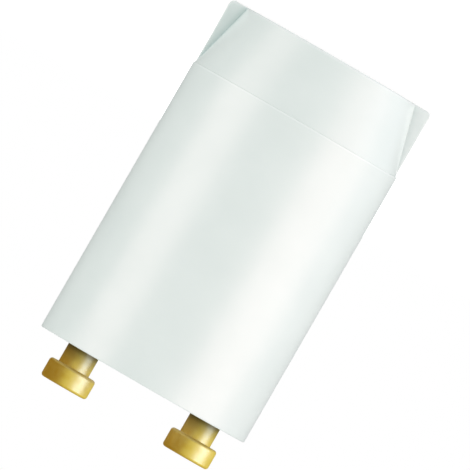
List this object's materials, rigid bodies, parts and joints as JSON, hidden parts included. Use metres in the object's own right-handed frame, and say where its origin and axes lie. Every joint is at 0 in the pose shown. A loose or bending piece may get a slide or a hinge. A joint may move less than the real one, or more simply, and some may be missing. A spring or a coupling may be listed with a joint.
{
  "type": "fluorescent starter",
  "caption": "Plug-in glow starter for a fluorescent tube: white can with a tapered, finned grip, mushroom contact pins, and a glow bulb and capacitor inside.",
  "frame": {"origin": "middle of the flat face of the grip end, on which the starter stands", "axes": "+Z along the can's axis, from the grip end to the contact pins; X runs through both contact pins and both grip fins; left is the -X side"},
  "size_m": [0.0212, 0.0212, 0.0381],
  "materials": {
    "can_white": "satin moulded polycarbonate, faintly green white",
    "disc_plastic": "pale matte insulating disc",
    "contact_brass": "turned and tumbled",
    "bulb_glass": "clear",
    "bimetal": "rolled strip",
    "nickel": "drawn",
    "tinned_wire": "tinned",
    "capacitor_resin": "dipped, glossy brown"
  },
  "bodies": {
    "root": {"housing_can": "can_white", "base_disc": "disc_plastic", "contact_pin_left": "contact_brass", "contact_pin_right": "contact_brass", "glow_bulb_glass": "bulb_glass", "bimetal_strip": "bimetal", "fixed_electrode": "nickel", "bulb_lead_left": "tinned_wire", "bulb_lead_right": "tinned_wire", "capacitor_body": "capacitor_resin", "capacitor_lead_left": "tinned_wire", "capacitor_lead_right": "tinned_wire"}
  },
  "joints": []
}
